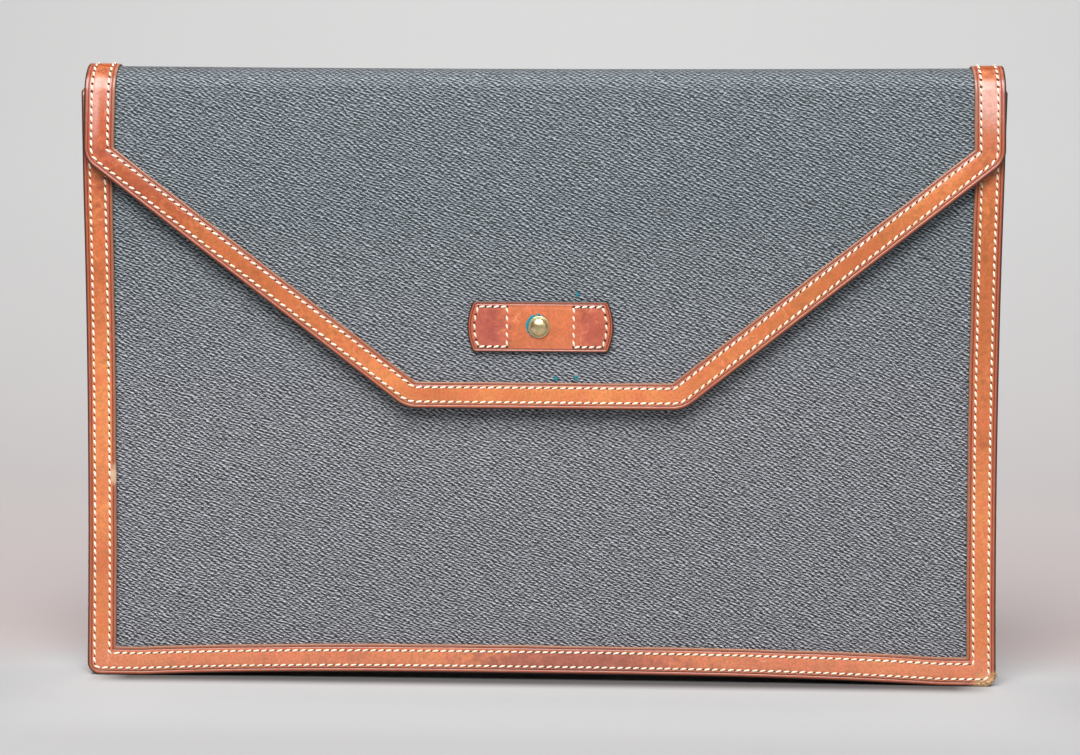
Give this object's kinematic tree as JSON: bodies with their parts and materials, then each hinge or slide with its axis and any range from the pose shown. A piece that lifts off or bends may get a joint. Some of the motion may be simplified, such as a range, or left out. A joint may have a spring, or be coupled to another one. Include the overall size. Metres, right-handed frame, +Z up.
{
  "type": "document bag",
  "caption": "Flat envelope document bag of grey coated canvas edged with stitched tan leather, with a pointed flap, a sewn leather tab and a plain brass stud.",
  "frame": {"origin": "on the surface the bag stands on, under the middle of its box", "axes": "+X to the right seen from the front, +Y to the back, +Z up"},
  "size_m": [0.3762, 0.0316, 0.253],
  "materials": {
    "canvas": "grey coated canvas with an embossed grain, satin",
    "edging_leather": "smooth waxed tan leather with dark burnished edges, semi-gloss",
    "gusset_leather": "thin smooth tan leather, satin",
    "brass": "aged brass, lightly tarnished"
  },
  "bodies": {
    "root": {"front_panel": "canvas", "back_and_flap": "canvas", "gusset": "gusset_leather", "front_band": "edging_leather", "back_band": "edging_leather", "flap_band": "edging_leather", "tab": "edging_leather", "stud": "brass", "snap": "brass"}
  },
  "joints": []
}
